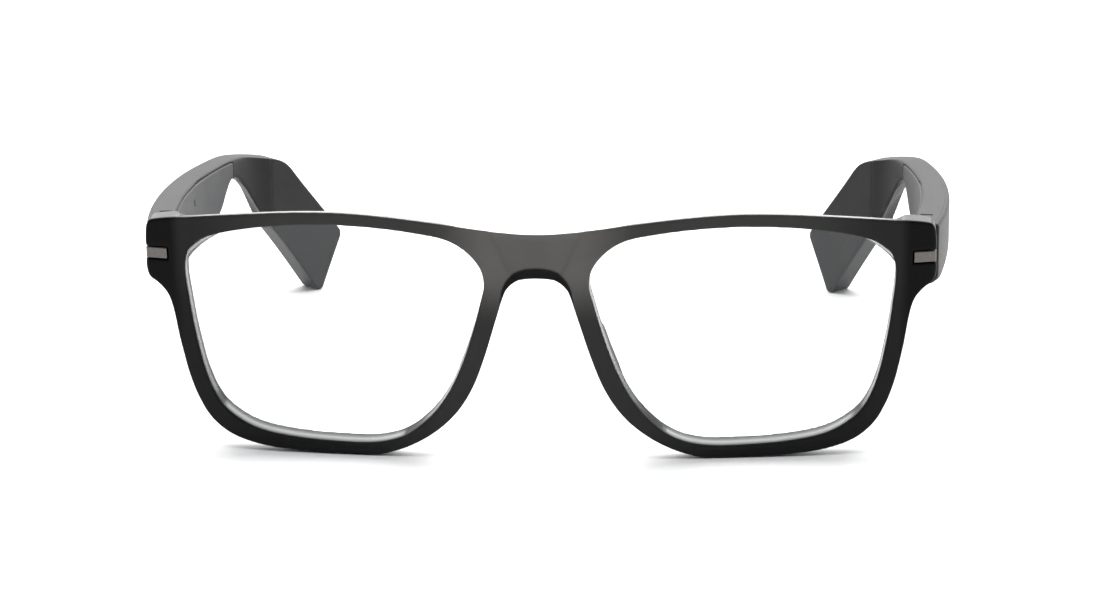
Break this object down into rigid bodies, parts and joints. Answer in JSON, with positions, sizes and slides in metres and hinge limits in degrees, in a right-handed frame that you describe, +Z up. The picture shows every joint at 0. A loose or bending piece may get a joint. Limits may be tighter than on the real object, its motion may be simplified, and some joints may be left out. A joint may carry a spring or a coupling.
{
  "type": "smart glasses",
  "caption": "Full-rim smart glasses: a wrapped front with clear lenses and two folding temples that hold the electronics, with tips turned down and in.",
  "frame": {"origin": "on the table under the middle of the whole part's box, with the temples open", "axes": "+Z up, +X to the wearer's left, the front faces -Y and the temples run back along +Y"},
  "size_m": [0.1546, 0.127, 0.0479],
  "materials": {
    "smoky_plastic": "smoky translucent, satin",
    "temple_plastic": "matte soft-touch black",
    "cover_plastic": "satin dark grey",
    "tip_plastic": "matte warm dark grey",
    "clear_lens": "clear, polished",
    "brushed_inlay": "brushed, warm grey",
    "hinge_metal": "fine machined",
    "cell_foil": "pouch foil",
    "board": "solder-mask green",
    "speaker_can": "pressed can",
    "mesh_metal": "dark perforated sheet",
    "contact_gold": "gold plated",
    "light_pipe": "clear moulded"
  },
  "bodies": {
    "front": {"front_frame": "smoky_plastic", "left_lens": "clear_lens", "right_lens": "clear_lens", "left_corner_inlay": "brushed_inlay", "right_corner_inlay": "brushed_inlay", "left_front_hinge_leaf": "hinge_metal", "right_front_hinge_leaf": "hinge_metal", "left_hinge_screw": "hinge_metal", "right_hinge_screw": "hinge_metal"},
    "left_temple": {"left_temple_hinge_leaf": "hinge_metal", "left_leaf_screws": "hinge_metal", "left_temple_shell": "temple_plastic", "left_inner_cover": "cover_plastic", "left_temple_tip": "tip_plastic", "left_core_strip": "hinge_metal", "left_battery": "cell_foil", "left_circuit_board": "board", "left_speaker": "speaker_can", "left_speaker_mesh": "mesh_metal", "left_microphone": "speaker_can", "left_charging_contacts": "contact_gold"},
    "right_temple": {"right_temple_hinge_leaf": "hinge_metal", "right_leaf_screws": "hinge_metal", "right_temple_shell": "temple_plastic", "right_inner_cover": "cover_plastic", "right_temple_tip": "tip_plastic", "right_core_strip": "hinge_metal", "right_battery": "cell_foil", "right_circuit_board": "board", "right_speaker": "speaker_can", "right_speaker_mesh": "mesh_metal", "right_microphone": "speaker_can", "right_charging_contacts": "contact_gold", "status_light": "light_pipe", "button_switch": "speaker_can"},
    "button": {"press_button": "temple_plastic"}
  },
  "joints": [
    {"name": "left_fold", "type": "hinge", "parent": "front", "child": "left_temple", "pos_m": [0.067, -0.04963, 0.0374], "axis": [0, 0, 1], "range_deg": [0, 83]},
    {"name": "right_fold", "type": "hinge", "parent": "front", "child": "right_temple", "pos_m": [-0.067, -0.04963, 0.0374], "axis": [0, 0, -1], "range_deg": [0, 72]},
    {"name": "button_press", "type": "slide", "parent": "right_temple", "child": "button", "axis": [0, 0, 1], "range_m": [0, 0.0004], "stiffness_N_per_m": 2000}
  ]
}
